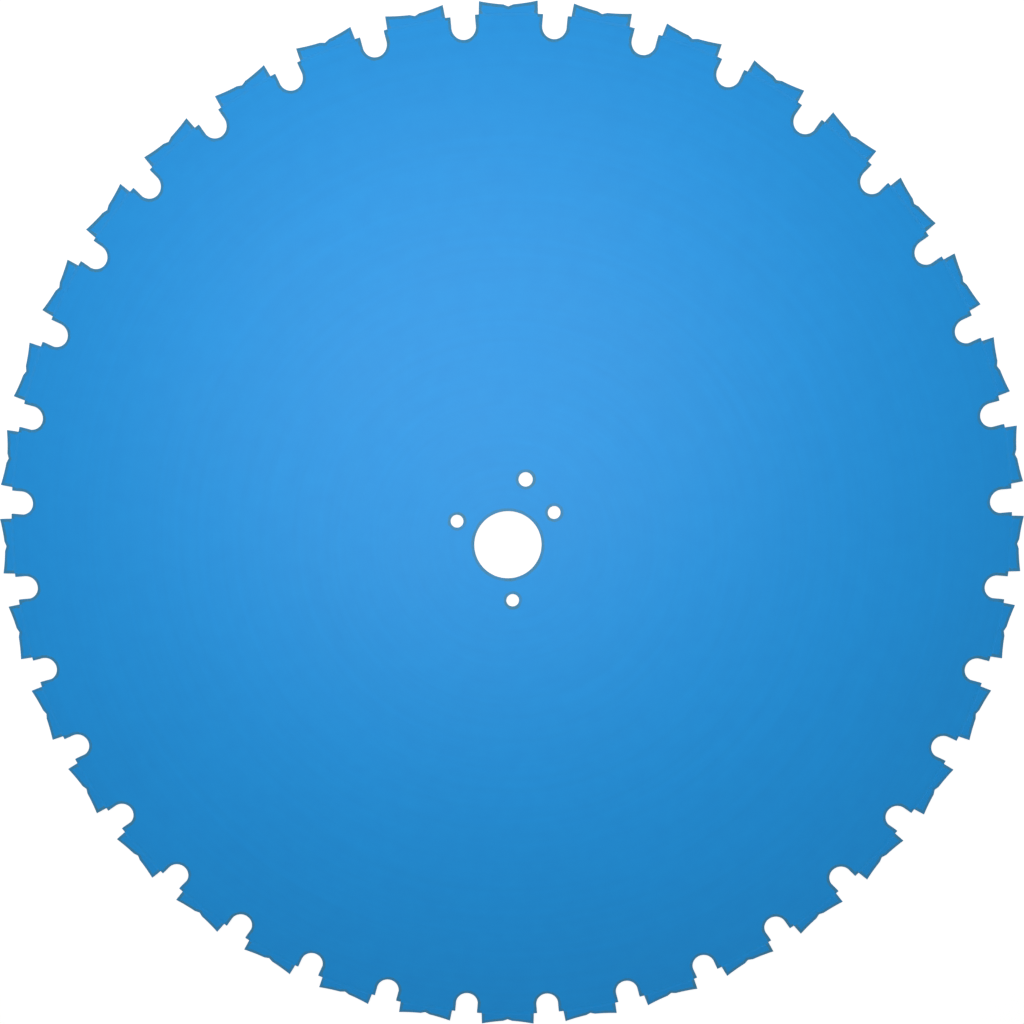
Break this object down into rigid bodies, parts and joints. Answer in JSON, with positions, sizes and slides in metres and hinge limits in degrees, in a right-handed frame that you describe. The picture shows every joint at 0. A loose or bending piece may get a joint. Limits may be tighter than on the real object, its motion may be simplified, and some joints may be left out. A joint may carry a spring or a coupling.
{
  "type": "diamond saw blade",
  "caption": "Round steel saw blade core with deep U-shaped gullets and sintered diamond segments welded round the rim, a central bore and flange holes, painted all over.",
  "frame": {"origin": "middle of the bore, half way through the core plate", "axes": "+Z is the axis that the blade spins about; the blade lies flat in XY"},
  "size_m": [0.9072, 0.9072, 0.0048],
  "materials": {
    "painted_core": "smooth blue enamel over ground steel",
    "painted_segment": "blue enamel over gritty sintered metal"
  },
  "bodies": {
    "root": {"core_plate": "painted_core", "segment_01": "painted_segment", "segment_02": "painted_segment", "segment_03": "painted_segment", "segment_04": "painted_segment", "segment_05": "painted_segment", "segment_06": "painted_segment", "segment_07": "painted_segment", "segment_08": "painted_segment", "segment_09": "painted_segment", "segment_10": "painted_segment", "segment_11": "painted_segment", "segment_12": "painted_segment", "segment_13": "painted_segment", "segment_14": "painted_segment", "segment_15": "painted_segment", "segment_16": "painted_segment", "segment_17": "painted_segment", "segment_18": "painted_segment", "segment_19": "painted_segment", "segment_20": "painted_segment", "segment_21": "painted_segment", "segment_22": "painted_segment", "segment_23": "painted_segment", "segment_24": "painted_segment", "segment_25": "painted_segment", "segment_26": "painted_segment", "segment_27": "painted_segment", "segment_28": "painted_segment", "segment_29": "painted_segment", "segment_30": "painted_segment", "segment_31": "painted_segment", "segment_32": "painted_segment", "segment_33": "painted_segment", "segment_34": "painted_segment", "segment_35": "painted_segment", "segment_36": "painted_segment"}
  },
  "joints": []
}
